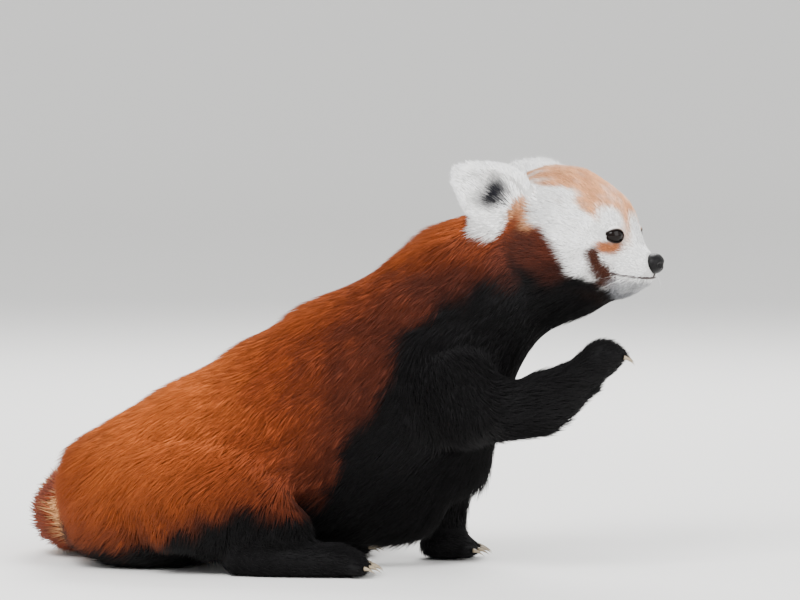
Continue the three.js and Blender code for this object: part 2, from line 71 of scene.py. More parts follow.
def toHead(points):
    return (points - headPlace) @ headTurn


def fromHead(points):
    return np.asarray(points) @ headTurn.T + headPlace


def mirrored(place, side):
    # side is 1 for the left and -1 for the right
    return np.array(place) * (1, side, 1)


def linear(red, green, blue):
    share = np.array([red, green, blue]) / 255
    return np.where(share <= 0.04045, share / 12.92, ((share + 0.055) / 1.055) ** 2.4)


def smooth(low, high, value):
    t = np.clip((value - low) / (high - low), 0, 1)
    return t * t * (3 - 2 * t)


def unit(vectors):
    return vectors / np.maximum(np.linalg.norm(vectors, axis=-1, keepdims=True), 1e-9)


def ripple(points, wavelength, seed):
    # soft noise, mostly from -1 to 1, that is alike at places close together
    draw = np.random.default_rng(seed)
    total = np.zeros(len(points))
    for _ in range(6):
        way = unit(draw.normal(size=3)) * 2 * math.pi / (wavelength * draw.uniform(0.6, 1.5))
        total += np.sin(points @ way + draw.uniform(0, 6.28))
    return total / 3


def deselectAll():
    bpy.ops.object.select_all(action="DESELECT")


def makeActive(piece):
    deselectAll()
    piece.select_set(True)
    bpy.context.view_layer.objects.active = piece


def newPiece(name, data):
    piece = bpy.data.objects.new(name, data)
    bpy.context.collection.objects.link(piece)
    return piece


def joinAll(pieces):
    deselectAll()
    for piece in pieces:
        piece.select_set(True)
    bpy.context.view_layer.objects.active = pieces[0]
    bpy.ops.object.join()
    return bpy.context.object


def settle(piece):
    makeActive(piece)
    bpy.ops.object.transform_apply(location=True, rotation=True, scale=True)


def applyModifier(piece, kind, **settings):
    makeActive(piece)
    modifier = piece.modifiers.new(kind.title(), kind)
    for key, value in settings.items():
        setattr(modifier, key, value)
    bpy.ops.object.modifier_apply(modifier=modifier.name)


def faceOutwards(piece):
    makeActive(piece)
    bpy.ops.object.mode_set(mode="EDIT")
    bpy.ops.mesh.select_all(action="SELECT")
    bpy.ops.mesh.normals_make_consistent(inside=False)
    bpy.ops.object.mode_set(mode="OBJECT")


def coordinates(mesh):
    flat = np.empty(len(mesh.vertices) * 3, dtype=np.float32)
    mesh.vertices.foreach_get("co", flat)
    return flat.reshape(-1, 3).astype(float)


def setCoordinates(mesh, places):
    mesh.vertices.foreach_set("co", places.astype(np.float32).ravel())
    mesh.update()


def trianglesOf(mesh):
    mesh.calc_loop_triangles()
    corners = np.empty(len(mesh.loop_triangles) * 3, dtype=np.int32)
    mesh.loop_triangles.foreach_get("vertices", corners)
    return corners.reshape(-1, 3)


def doubleArea(triangles):
    across = np.cross(triangles[:, 1] - triangles[:, 0], triangles[:, 2] - triangles[:, 0])
    return np.linalg.norm(across, axis=1)


def rayTree(places, corners):
    faces = [tuple(int(i) for i in triangle) for triangle in corners]
    return BVHTree.FromPolygons([Vector(place) for place in places], faces)


def paintPoints(mesh, colours):
    attribute = mesh.color_attributes.new("markingsAndShade", "FLOAT_COLOR", "POINT")
    rgba = np.concatenate([colours, np.ones((len(colours), 1))], axis=1)
    attribute.data.foreach_set("color", rgba.astype(np.float32).ravel())


# One output of a shader node, from which further nodes are added
class Socket:
    def __init__(self, tree, output):
        self.tree, self.output = tree, output

    def add(self, kind, settings=None, values=None, out=0):
        node = self.tree.nodes.new(kind)
        for key, value in (settings or {}).items():
            setattr(node, key, value)
        for key, value in (values or {}).items():
            if isinstance(value, Socket):
                self.tree.links.new(value.output, node.inputs[key])
            else:
                node.inputs[key].default_value = value
        return Socket(self.tree, node.outputs[out])


def newMaterial(name, values):
    material = bpy.data.materials.new(name)
    material.use_nodes = True
    shader = material.node_tree.nodes["Principled BSDF"]
    for key, value in values.items():
        shader.inputs[key].default_value = value
    return material, shader, Socket(material.node_tree, None)


def link(maker, source, shader, name):
    maker.tree.links.new(source.output, shader.inputs[name])


def hairMaterial(name, sheen):
    material, shader, maker = newMaterial(
        name, {"Roughness": 0.7, "Sheen Weight": sheen, "Specular IOR Level": 0.09})
    # the base colour is the painted colour attribute: the coat's colours with painted shade on the roots,
    # skin and lids and painted light on the tips
    markingSocket = maker.add("ShaderNodeAttribute", {"attribute_name": "markingsAndShade"})
    link(maker, markingSocket, shader, "Base Color")
    return material


def bumpedMaterial(name, colour, roughness, scale, depth, gloss=0.5):
    material, shader, maker = newMaterial(
        name, {"Base Color": (*colour, 1), "Roughness": roughness, "Specular IOR Level": gloss})
    place = maker.add("ShaderNodeTexCoord", out="Object")
    grain = maker.add("ShaderNodeTexVoronoi", {}, {"Vector": place, "Scale": scale})
    bump = maker.add("ShaderNodeBump", {}, {"Height": grain, "Strength": 0.5, "Distance": depth})
    link(maker, bump, shader, "Normal")
    return material


# The camera looks along +Y and a little down, and one pixel is 0.83 mm at the animal
camera = {
    "target": (0.191, 0.0, 0.221), "distance": 4.0, "elevation": 3.0, "viewWidth": 0.664,
    "sensor": 36, "clipEnd": 60,
}
rise = math.radians(camera["elevation"])
eyePoint = Vector(camera["target"]) + camera["distance"] * Vector((0, -math.cos(rise), math.sin(rise)))
bpy.ops.object.camera_add(location=eyePoint, rotation=(math.pi / 2 - rise, 0, 0))
cameraObject = bpy.context.object
cameraObject.data.lens = camera["sensor"] * camera["distance"] / camera["viewWidth"]
cameraObject.data.clip_end = camera["clipEnd"]
bpy.context.scene.camera = cameraObject

# A pale floor that sweeps up into a wall far behind
sweep = {
    "wide": 50, "front": -14, "bend": 8, "radius": 4, "wall": 12, "parts": 96,
    "colour": (0.80, 0.79, 0.77, 1), "roughness": 0.9,
}
bpy.ops.mesh.primitive_grid_add(x_subdivisions=2, y_subdivisions=sweep["parts"], size=1)
floor = bpy.context.object
floor.name = "floor"
flat = coordinates(floor.data)
arc = sweep["radius"] * math.pi / 2
wholeRun = sweep["bend"] - sweep["front"] + arc + sweep["wall"]
run = (flat[:, 1] + 0.5) * wholeRun + sweep["front"]
turned = np.clip((run - sweep["bend"]) / arc, 0, 1) * math.pi / 2
above = np.maximum(run - sweep["bend"] - arc, 0)
flat[:, 0] *= sweep["wide"]
flat[:, 1] = np.minimum(run, sweep["bend"]) + sweep["radius"] * np.sin(turned)
flat[:, 2] = sweep["radius"] * (1 - np.cos(turned)) + above
setCoordinates(floor.data, flat)
makeActive(floor)
bpy.ops.object.shade_smooth()
floorMaterial = newMaterial("paleFloor", {"Base Color": sweep["colour"], "Roughness": sweep["roughness"]})[0]
floor.data.materials.append(floorMaterial)

studio = {"aim": (0.15, 0, 0.15), "sky": (0.86, 0.87, 0.88, 1), "skyStrength": 1.42}
lights = {
    "key": {"at": (-0.9, -2.2, 2.4), "size": 1.6, "power": 165},
    "fill": {"at": (2.2, -1.8, 1.3), "size": 2.2, "power": 60},
    "rim": {"at": (0.3, 2.2, 2.2), "size": 1.6, "power": 105},
}
for name, light in lights.items():
    aim = Vector(studio["aim"]) - Vector(light["at"])
    turn = aim.to_track_quat("-Z", "Y").to_euler()
    bpy.ops.object.light_add(type="AREA", location=light["at"], rotation=turn)
    lamp = bpy.context.object
    lamp.name = name
    lamp.data.size = light["size"]
    lamp.data.energy = light["power"]
world = bpy.data.worlds.new("studio")
bpy.context.scene.world = world
world.use_nodes = True
world.node_tree.nodes["Background"].inputs["Color"].default_value = studio["sky"]
world.node_tree.nodes["Background"].inputs["Strength"].default_value = studio["skyStrength"]
print("camera, floor and lights made")

# One skin from copies of the nodes, made one surface, smoothed and drawn in under the coat
fleshNodes = [name for name in nodes if not name.startswith(("eye", "nose"))]
skinLook = {
    "voxel": 0.0028, "merge": 0.00001, "smoothing": 260, "settling": 60, "samples": 5000, "regionBlend": 14,
    "strand": 0.012, "strandStart": 0.0004, "strandShare": 0.6,
    "footInset": 0.75, "muzzleInset": 0.6, "muzzleX": (0.040, 0.062), "floorNear": (0.006, 0.001),
    "noseReach": 1.15, "noseBed": 0.78, "noseClear": (0.00855, 0.0099),
    "hairPasses": 20, "hairBlend": (0.6, 0.4), "shade": 0.55,
}
lids = {
    "gaze": 44, "wide": 0.0083, "tall": 0.0048, "skin": 0.0089, "behind": 0.0030, "near": 0.0125,
    "opening": (1.25, 0.95), "hairFrom": (1.35, 1.7), "edgeRadius": 0.0093, "outerRadius": 0.0087,
    "around": 48, "out": 8, "spread": 0.75, "sideSpread": 0.55, "almond": 0.16, "thick": 0.0006,
    "edge": linear(24, 17, 16), "edgeShare": (0.20, 0.55), "shade": 0.8,
}
regions = {  # passes of smoothing as a share, how far the skin lies inside, longest hair, width, lift
    "torso": {"soften": 1.0, "inset": -0.0005, "length": 0.026, "width": 0.0011, "lift": 0.29},
    "neck": {"soften": 0.8, "inset": 0.0003, "length": 0.024, "width": 0.0011, "lift": 0.26},
    "tail": {"soften": 0.5, "inset": 0.0005, "length": 0.028, "width": 0.0014, "lift": 0.34},
    "leg": {"soften": 0.09, "inset": 0.0022, "length": 0.016, "width": 0.0011, "lift": 0.36},
    "head": {"soften": 0.022, "inset": 0.0020, "length": 0.012, "width": 0.0009, "lift": 0.26},
    "ear": {"soften": 0.006, "inset": 0.0006, "length": 0.010, "width": 0.0009, "lift": 0.28},
}
regionNames = list(regions)
areas = {  # a pair of values says where an area begins and where it is full
    "footZ": (0.034, 0.020), "footFrom": 0.04, "footSharp": 0.8,
    "hand": (0.362, -0.060, 0.170), "handReach": (0.036, 0.022),
    "thighZ": (0.055, 0.085), "thighX": (0.19, 0.16), "thighSoften": 0.75,
    "jowlX": (0.002, -0.022), "jowlZ": (0.034, 0.020), "jowlSoften": 0.45,
}
fuller = {  # long hair that hangs between the legs: middle and half sizes
    "belly": ((0.180, 0.0, 0.052), (0.058, 0.040, 0.036)),
    "bib": ((0.250, 0.022, 0.088), (0.020, 0.034, 0.030)),
}


def regionOf(name):
    for start, region in (("foreleg", "leg"), ("hindleg", "leg"), ("tail", "tail"), ("ear", "ear")):
        if name.startswith(start):
            return region
    return name


def largestShell(piece):
    # keeps the largest loose part of a mesh as the skin
    makeActive(piece)
    bpy.ops.mesh.separate(type="LOOSE")
    shells = sorted(bpy.context.selected_objects, key=lambda shell: len(shell.data.vertices))
    kept = shells.pop()
    for scrap in shells:
        bpy.data.objects.remove(scrap)
    kept.name = "skin"
    return kept


copies = []
for name in nodes:  # the balls of the eyes and the nose fill their hollows
    piece = nodes[name].copy()
    piece.data = nodes[name].data.copy()
    piece.parent = None
    piece.matrix_world = Matrix.Identity(4)
    bpy.context.collection.objects.link(piece)
    copies.append(piece)
for middle, size in fuller.values():
    bpy.ops.mesh.primitive_uv_sphere_add(segments=32, ring_count=20, radius=1, location=middle)
    bpy.context.object.scale = size
    settle(bpy.context.object)
    copies.append(bpy.context.object)
skin = joinAll(copies)
bpy.ops.object.mode_set(mode="EDIT")
bpy.ops.mesh.select_all(action="SELECT")
bpy.ops.mesh.remove_doubles(threshold=skinLook["merge"])
bpy.ops.object.mode_set(mode="OBJECT")
applyModifier(skin, "REMESH", mode="VOXEL", voxel_size=skinLook["voxel"])
skin = largestShell(skin)
print("skin remeshed:", len(skin.data.vertices), "points")

# Which region each place of the solids belongs to, by points drawn over their surfaces
draw = np.random.default_rng(5)
samples, sampleRegion = [], []
for name in fleshNodes:
    mesh = nodes[name].data
    corners = trianglesOf(mesh)
    triangles = coordinates(mesh)[corners]
    area = doubleArea(triangles)
    pick = draw.choice(len(area), skinLook["samples"], p=area / area.sum())
    share = draw.dirichlet((1, 1, 1), skinLook["samples"])
    samples.append(np.einsum("nk,nkd->nd", share, triangles[pick]))
    sampleRegion += [regionOf(name)] * skinLook["samples"]
samples = np.concatenate(samples)
sampleTree = kdtree.KDTree(len(samples))
for i, place in enumerate(samples):
    sampleTree.insert(place, i)
sampleTree.balance()


# The skin's points, the edges between them and how far each point belongs to each region
class Surface:
    def __init__(self, piece):
        self.piece = piece
        self.points = coordinates(piece.data)
        ends = np.empty(len(piece.data.edges) * 2, dtype=np.int32)
        piece.data.edges.foreach_get("vertices", ends)
        ends = ends.reshape(-1, 2)
        self.starts = np.concatenate([ends[:, 0], ends[:, 1]])
        self.finishes = np.concatenate([ends[:, 1], ends[:, 0]])
        self.degree = np.maximum(np.bincount(self.starts, minlength=len(self.points)), 1)
        nearest = [regionNames.index(sampleRegion[sampleTree.find(place)[1]]) for place in self.points]
        self.belongs = np.eye(len(regionNames))[nearest]
        for _ in range(skinLook["regionBlend"]):
            self.belongs = 0.5 * self.belongs + 0.5 * self.mean(self.belongs)

    def mean(self, values):
        # the mean over each point's neighbours
        columns = [np.bincount(self.starts, weights=values[self.finishes, k], minlength=len(values))
                   for k in range(values.shape[1])]
        return np.stack(columns, axis=1) / self.degree[:, None]

    def share(self, region):
        return self.belongs[:, regionNames.index(region)]

    def value(self, key):
        return self.belongs @ np.array([regions[name][key] for name in regionNames])

    def feet(self):
        # 1 on the feet and the raised hand, whose hair is short and whose toes stay sharp
        low = smooth(*areas["footZ"], self.points[:, 2]) * (self.points[:, 0] > areas["footFrom"])
        fromHand = np.linalg.norm(self.points - areas["hand"], axis=1)
        return np.maximum(low * self.share("leg"), smooth(*areas["handReach"], fromHand))

    def thighs(self):
        # 1 where the long coat of the body runs on over the thighs
        high = smooth(*areas["thighZ"], self.points[:, 2])
        return self.share("leg") * high * smooth(*areas["thighX"], self.points[:, 0])

    def place(self):
        # sets the mesh to the points and returns its normals
        setCoordinates(self.piece.data, self.points)
        normals = np.empty(len(self.points) * 3, dtype=np.float32)
        self.piece.data.vertices.foreach_get("normal", normals)
        return normals.reshape(-1, 3).astype(float)

    def smoothed(self, steps):
        x, _, z = toHead(self.points).T
        jowl = self.share("head") * smooth(*areas["jowlX"], x) * smooth(*areas["jowlZ"], z)
        soften = self.value("soften") * (1 - areas["footSharp"] * self.feet())
        soften = (soften + areas["jowlSoften"] * jowl + areas["thighSoften"] * self.thighs())[:, None]
        for step in range(steps):
            active = soften > step / steps
            self.points = self.points + 0.5 * active * (self.mean(self.points) - self.points)
        return self.place()


surface = Surface(skin)
normals = surface.smoothed(skinLook["smoothing"])

# Locks that stand clear of the body have thinned to strands, which are cut off and their roots closed
inside = rayTree(surface.points, trianglesOf(skin.data))
bodyColumns = [regionNames.index(name) for name in ("torso", "neck", "tail")]
bodyShare = surface.belongs[:, bodyColumns].sum(axis=1)
thin = np.zeros(len(surface.points), dtype=bool)
for i in np.flatnonzero(bodyShare > skinLook["strandShare"]):
    inward = Vector(-normals[i])
    start = Vector(surface.points[i]) + inward * skinLook["strandStart"]
    thin[i] = inside.ray_cast(start, inward, skinLook["strand"])[3] is not None
skin.data.vertices.foreach_set("select", thin)
skin.data.polygons.foreach_set("select", np.zeros(len(skin.data.polygons), dtype=bool))
print("strand points cut:", int(thin.sum()))
if thin.any():
    bpy.context.tool_settings.mesh_select_mode = (True, False, False)
    makeActive(skin)
    bpy.ops.object.mode_set(mode="EDIT")
    bpy.ops.mesh.select_more()
    bpy.ops.mesh.delete(type="VERT")
    bpy.ops.mesh.select_all(action="SELECT")
    bpy.ops.mesh.fill_holes(sides=0)
    bpy.ops.object.mode_set(mode="OBJECT")
    applyModifier(skin, "REMESH", mode="VOXEL", voxel_size=skinLook["voxel"])
    skin = largestShell(skin)
    surface = Surface(skin)
normals = surface.smoothed(skinLook["settling"])

feet = surface.feet()
inset = surface.value("inset") * (1 - skinLook["footInset"] * feet)
muzzle = smooth(*skinLook["muzzleX"], toHead(surface.points)[:, 0]) * surface.share("head")
inset *= 1 - skinLook["muzzleInset"] * muzzle
touching = smooth(*skinLook["floorNear"], surface.points[:, 2])
surface.points = surface.points - normals * (inset * (1 - touching))[:, None]
surface.points[:, 2] = np.maximum(surface.points[:, 2], 0.0)
normals = surface.place()
local = toHead(surface.points)


def gazeAxes(side):
    turn = side * math.radians(lids["gaze"])
    return np.array([(math.cos(turn), math.sin(turn), 0), (-math.sin(turn), math.cos(turn), 0), (0, 0, 1)])


def eyeReach(places, side):
    # how far round an eye's opening places in the head's frame lie, 1 at its edge, and their way from it
    away = places - mirrored(head["eye"], side)
    depth, along, up = (away @ gazeAxes(side).T).T
    around = np.hypot(along / lids["wide"], up / lids["tall"])
    return np.where(depth > 0, around, np.inf), away


# Over each eye the skin stands clear of the ball, and within the opening it drops behind it
for side in (-1, 1):
    around, away = eyeReach(local, side)
    distance = np.linalg.norm(away, axis=1)
    over = np.maximum(distance, lids["skin"])
    opening = smooth(*lids["opening"], around)
    wanted = over + (head["eyeRadius"] - lids["behind"] - over) * opening
    nearEye = (distance < lids["near"]) & np.isfinite(around)
    onLid = mirrored(head["eye"], side) + unit(away) * wanted[:, None]
    local = np.where(nearEye[:, None], onLid, local)
# Behind the nose it sinks into the pad
fromNose = (local - np.array(head["nose"])) / np.array(head["noseSize"])
reach = np.linalg.norm(fromNose, axis=1, keepdims=True)
inPad = np.array(head["nose"]) + fromNose / reach * skinLook["noseBed"] * np.array(head["noseSize"])
local = np.where(reach < skinLook["noseReach"], inPad, local)
surface.points = fromHead(local)
surface.place()
least, extra = skinLook["hairBlend"]
blend = least + extra * surface.value("soften")[:, None]
for _ in range(skinLook["hairPasses"]):  # the hair doesn't follow each small lump
    normals = unit(normals + surface.mean(normals) * blend)
print("skin shaped")

colours = {
    "orange": linear(190, 98, 42), "rust": linear(132, 59, 27), "umber": linear(74, 34, 23),
    "black": linear(13, 12, 13), "white": linear(249, 248, 246), "buff": linear(216, 158, 114),
    "cheek": linear(160, 98, 62), "tear": linear(66, 36, 26), "chin": linear(160, 161, 165),
    "spot": linear(26, 26, 31), "ringPale": linear(192, 138, 90), "ringRed": linear(126, 53, 25),
    "tailTip": linear(38, 21, 16), "throat": linear(22, 14, 12),
}
# Edges of the marks wander by a few millimetres
wander = {"wavelength": 0.020, "far": 0.006, "seed": 3, "fine": 0.4}
# The line of the back, seen from the side
backLine = {
    "x": (-0.102, -0.085, -0.056, -0.021, 0.017, 0.060, 0.094, 0.136, 0.158, 0.193, 0.232, 0.300),
    "z": (0.051, 0.087, 0.123, 0.144, 0.168, 0.194, 0.218, 0.239, 0.256, 0.280, 0.299, 0.312),
}
# The lower edge of the red coat, seen from the side
blackBelow = {
    "x": (-0.110, -0.045, 0.002, 0.050, 0.098, 0.138, 0.146, 0.152, 0.178, 0.199, 0.222, 0.245,
          0.290, 0.330),
    "z": (0.020, 0.022, 0.035, 0.058, 0.060, 0.066, 0.082, 0.108, 0.142, 0.196, 0.221, 0.238,
          0.247, 0.248),
}
# A mark is where it begins, where it is full and, when it isn't all, its share of the colour
# Darker rust and umber low on the body, further below the line of the back, at the front and on the rump:
# partly the coat's own darker red-brown, partly painted shade
bodyMarksAndShade = {
    "foreX": (0.02, 0.11), "foreBase": 0.55, "foreDepth": (0.0, 0.04, 0.45),
    "slope": 0.45, "lowRust": (0.15, 0.05, 0.8), "lowUmber": (0.09, 0.025, 0.55),
    "rumpX": (-0.02, -0.09, 0.75), "shoulderX": (0.08, 0.18), "shoulderDepth": (0.006, 0.060, 0.9),
    "neckX": (0.20, 0.24), "neckDepth": (0.018, 0.050, 0.8),
    "blackEdge": (0.016, -0.010), "foreleg": (0.17, 0.20, 1.6),
}
# The tail's middle line, seen from above
tailLine = np.array([
    (-0.058, 0.010), (-0.080, 0.048), (-0.086, 0.094), (-0.072, 0.142), (-0.034, 0.178),
    (0.018, 0.196), (0.072, 0.198), (0.122, 0.188), (0.162, 0.168), (0.186, 0.148)])
tailMarks = {
    "rings": 6, "edge": (0.35, 0.65), "tip": (0.89, 0.93), "blend": (0.3, 0.7),
    "wave": {"wavelength": 0.03, "seed": 8}, "waveShare": 0.35,
}
faceMarks = {  # in the head's frame
    "cheekZ": (-0.036, -0.033, -0.024, 0.000, 0.012, 0.025, 0.040),  # rear edge of the white cheek
    "cheekX": (0.042, 0.036, 0.026, 0.015, 0.004, -0.014, -0.024),
    "topX": (-0.030, 0.000, 0.020, 0.032, 0.040, 0.060),  # its top edge
    "topZ": (0.049, 0.045, 0.037, 0.023, 0.019, 0.014),
    "rear": (-0.005, 0.005), "floor": (-0.040, -0.030), "top": (0.005, -0.004), "front": (0.058, 0.048),
    "crownZ": (0.008, 0.022), "crownX": (-0.046, -0.020), "browX": (0.022, 0.034), "browZ": (-0.020, -0.006),
    "streakZ": (0.010, 0.030), "pale": (-0.3, 1.0), "paleX": (-0.030, 0.0, 0.2), "dark": (0.0, 1.0, 0.22),
    "paleWave": {"wavelength": 0.011, "seed": 12}, "paleSqueeze": (0.5, 1, 1),
    "darkWave": {"wavelength": 0.014, "seed": 13}, "darkSqueeze": (0.4, 1, 1),
    "muzzleX": (0.050, 0.060), "muzzleZ": (0.026, 0.014),
    "eyebrow": ((0.044, 0.025, 0.018), (0.013, 0.012, 0.0095), 0.3),
    "underEye": ((0.047, 0.031, -0.0035), (0.014, 0.014, 0.0060), 0.35), "underEyeZ": (0.003, -0.001),
    "tear": ((0.038, -0.010), (0.049, -0.030)),  # ends of the dark stripe under the eye
    "tearWide": (0.0085, 0.0040), "tearSide": (0.014, 0.022),
    "chinZ": (-0.027, -0.032), "chinX": (0.044, 0.052, 0.8),
    "throatZ": (-0.033, -0.042), "throatX": (0.050, 0.040), "blend": (0.35, 0.65),
}
earMarks = {"spot": (-0.045, 0.060, 0.034), "reach": (0.018, 0.009), "blend": (0.4, 0.7)}


def alongTail(places):
    # share of the tail's length and the way it runs, at each place
    best = np.full(len(places), np.inf)
    share = np.zeros(len(places))
    way = np.zeros((len(places), 3))
    spans = np.linalg.norm(np.diff(tailLine, axis=0), axis=1)
    before = np.concatenate([[0], np.cumsum(spans)])
    for a, b, span, start in zip(tailLine, tailLine[1:], spans, before):
        t = np.clip((places[:, :2] - a) @ (b - a) / span ** 2, 0, 1)
        gap = np.linalg.norm(places[:, :2] - a - t[:, None] * (b - a), axis=1)
        closer = gap < best
        best = np.where(closer, gap, best)
        share = np.where(closer, (start + t * span) / before[-1], share)
        way[closer] = (*(b - a) / span, 0)
    return share, way


def wash(mark, value):
    begins, full, *share = mark
    return smooth(begins, full, value) * (share[0] if share else 1)


def blob(places, centre, radii, edge):
    reach = np.linalg.norm((places - np.array(centre)) / np.array(radii), axis=1)
    return smooth(1 + edge, 1 - edge, reach)


def painted(colour, washes):
    for name, mask in washes:
        colour = colour + (colours[name] - colour) * mask[:, None]
    return colour


def bodyColour(places, weight, rough):
    x, _, z = places.T
    depth = np.interp(x, backLine["x"], backLine["z"]) - z
    low = z - bodyMarksAndShade["slope"] * x + rough
    edge = np.interp(x, blackBelow["x"], blackBelow["z"])
    fore = bodyMarksAndShade["foreBase"] + wash(bodyMarksAndShade["foreDepth"], depth)
    shoulder = wash(bodyMarksAndShade["shoulderX"], x + 2 * rough)
    legs = weight["leg"] * wash(bodyMarksAndShade["foreleg"], x)
    return painted(np.tile(colours["orange"], (len(places), 1)), (
        # the rust and umber washes below are partly the coat's own darker colour and partly painted shade
        ("rust", wash(bodyMarksAndShade["foreX"], x + 2 * rough) * fore),
        ("rust", wash(bodyMarksAndShade["lowRust"], low)),
        ("rust", wash(bodyMarksAndShade["rumpX"], x + rough)),
        ("umber", wash(bodyMarksAndShade["lowUmber"], low)),
        ("umber", shoulder * wash(bodyMarksAndShade["shoulderDepth"], depth + rough)),
        ("umber", wash(bodyMarksAndShade["neckX"], x) * wash(bodyMarksAndShade["neckDepth"], depth + rough)),
        ("black", wash(bodyMarksAndShade["blackEdge"], z - edge + rough)),
        ("black", np.clip(legs, 0, 1)),
    ))


def tailColour(places):
    share = alongTail(places)[0]
    wave = ripple(places, **tailMarks["wave"]) * tailMarks["waveShare"]
    band = 0.5 + 0.5 * np.sin(2 * math.pi * share * tailMarks["rings"] + wave)
    return painted(np.tile(colours["ringRed"], (len(places), 1)), (
        ("ringPale", wash(tailMarks["edge"], band)),
        ("tailTip", wash(tailMarks["tip"], share)),
    ))


def headColour(places, body, rough):
    face = toHead(places)
    face[:, 1] = np.abs(face[:, 1])
    x, y, z = face.T
    streaks = wash(faceMarks["streakZ"], z)
    pale = wash(faceMarks["pale"], ripple(face * faceMarks["paleSqueeze"], **faceMarks["paleWave"]))
    pale = pale * wash(faceMarks["paleX"], x)
    dark = wash(faceMarks["dark"], ripple(face * faceMarks["darkSqueeze"], **faceMarks["darkWave"]))
    rear = np.interp(z, faceMarks["cheekZ"], faceMarks["cheekX"])
    top = np.interp(x, faceMarks["topX"], faceMarks["topZ"]) + rough
    cheek = (wash(faceMarks["rear"], x - rear + rough) * wash(faceMarks["floor"], z)
             * wash(faceMarks["top"], z - top) * wash(faceMarks["front"], x))
    a, b = (np.array(end) for end in faceMarks["tear"])
    t = np.clip((face[:, [0, 2]] - a) @ (b - a) / ((b - a) @ (b - a)), 0, 1)
    gap = np.linalg.norm(face[:, [0, 2]] - a - t[:, None] * (b - a), axis=1)
    return painted(body, (
        ("buff", wash(faceMarks["crownZ"], z + rough) * wash(faceMarks["crownX"], x)),
        ("buff", wash(faceMarks["browX"], x + rough) * wash(faceMarks["browZ"], z)),
        ("white", pale * streaks),
        ("rust", dark * streaks),
        ("white", cheek),
        ("white", wash(faceMarks["muzzleX"], x + rough) * wash(faceMarks["muzzleZ"], z)),
        ("white", blob(face, *faceMarks["eyebrow"])),
        ("cheek", blob(face, *faceMarks["underEye"]) * wash(faceMarks["underEyeZ"], z)),
        ("tear", wash(faceMarks["tearWide"], gap + rough * wander["fine"]) * wash(faceMarks["tearSide"], y)),
        ("chin", wash(faceMarks["chinZ"], z) * wash(faceMarks["chinX"], x)),
        ("throat", wash(faceMarks["throatZ"], z) * wash(faceMarks["throatX"], x)),
    ))


def earColour(places, rough):
    spots = fromHead([mirrored(earMarks["spot"], side) for side in (-1, 1)])
    gap = np.min([np.linalg.norm(places - spot, axis=1) for spot in spots], axis=0)
    return painted(np.tile(colours["white"], (len(places), 1)), (
        ("spot", wash(earMarks["reach"], gap + rough * wander["fine"])),
    ))


def markingsAndShade(places, weights):
    # the coat's colour, with painted shade in the body's darker washes, at places that belong to the regions
    # by these weights
    weight = dict(zip(regionNames, weights.T))
    rough = ripple(places, wander["wavelength"], wander["seed"]) * wander["far"]

    def blended(under, over, region, marks):
        return under + (over - under) * wash(marks["blend"], weight[region])[:, None]

    colour = bodyColour(places, weight, rough)
    colour = blended(colour, tailColour(places), "tail", tailMarks)
    colour = blended(colour, headColour(places, colour, rough), "head", faceMarks)
    colour = blended(colour, earColour(places, rough), "ear", earMarks)
    return np.clip(colour, 0.002, 0.95)


# Ways that the hair runs in, and the places where they change
lieWays = {
    "torso": (-0.82, 0.25, -0.38), "torsoSide": (0.1, 0.9), "torsoFall": 0.45,
    "neck": (-0.70, 0, -0.45), "neckFall": 0.3,
    "thigh": (-0.30, 0, -0.95), "hindFoot": (1.0, 0, -0.1), "hindFootZ": 0.036, "hindFootX": 0.05,
    "upperArm": (0.35, 0, -0.9), "forearm": (0.85, 0, 0.10), "elbowX": 0.262,
    "planted": (0.05, 0, -1.0), "foreFoot": (1.0, 0, -0.1), "foreFootZ": 0.030,
    "hindX": 0.185, "hindZ": 0.125, "aheadOfNose": (0.135, 0, -0.012), "earBase": (-0.028, 0.046, 0.018),
    "passes": 12,
}


def lieOfCoat():
    # the way the hair lies at each point of the skin
    x, y, z = surface.points.T
    sideways = np.abs(normals[:, 1])
    ones = np.ones(len(x))
    back, out, down = lieWays["torso"]
    torso = np.stack([back * ones, out * np.sign(y) * smooth(*lieWays["torsoSide"], sideways),
                      down - lieWays["torsoFall"] * sideways], axis=1)
    back, out, down = lieWays["neck"]
    neck = np.stack([back * ones, out * ones, down - lieWays["neckFall"] * sideways], axis=1)

    onHindFoot = (z < lieWays["hindFootZ"]) & (x > lieWays["hindFootX"])
    thighs = surface.thighs()[:, None]
    hind = np.where(onHindFoot[:, None], lieWays["hindFoot"], lieWays["thigh"])
    hind = hind * (1 - thighs) + torso * thighs
    raised = np.where((x > lieWays["elbowX"])[:, None], lieWays["forearm"], lieWays["upperArm"])
    planted = np.where((z < lieWays["foreFootZ"])[:, None], lieWays["foreFoot"], lieWays["planted"])
    fore = np.where((y < 0)[:, None], raised, planted)
    isHind = (x < lieWays["hindX"]) & (z < lieWays["hindZ"])

    bases = fromHead([mirrored(lieWays["earBase"], side) for side in (-1, 1)])
    right, left = (np.linalg.norm(surface.points - base, axis=1) for base in bases)
    way = {
        "torso": torso, "neck": neck, "tail": alongTail(surface.points)[1],
        "leg": np.where(isHind[:, None], hind, fore),
        "head": unit(local - np.array(lieWays["aheadOfNose"])) @ headTurn.T,
        "ear": surface.points - np.where((right < left)[:, None], bases[0], bases[1]),
    }
    total = sum(surface.belongs[:, [i]] * unit(way[name]) for i, name in enumerate(regionNames))
    for _ in range(lieWays["passes"]):
        total = total - normals * np.sum(total * normals, axis=1, keepdims=True)
        total = 0.4 * unit(total) + 0.6 * surface.mean(unit(total))
    return unit(total - normals * np.sum(total * normals, axis=1, keepdims=True))


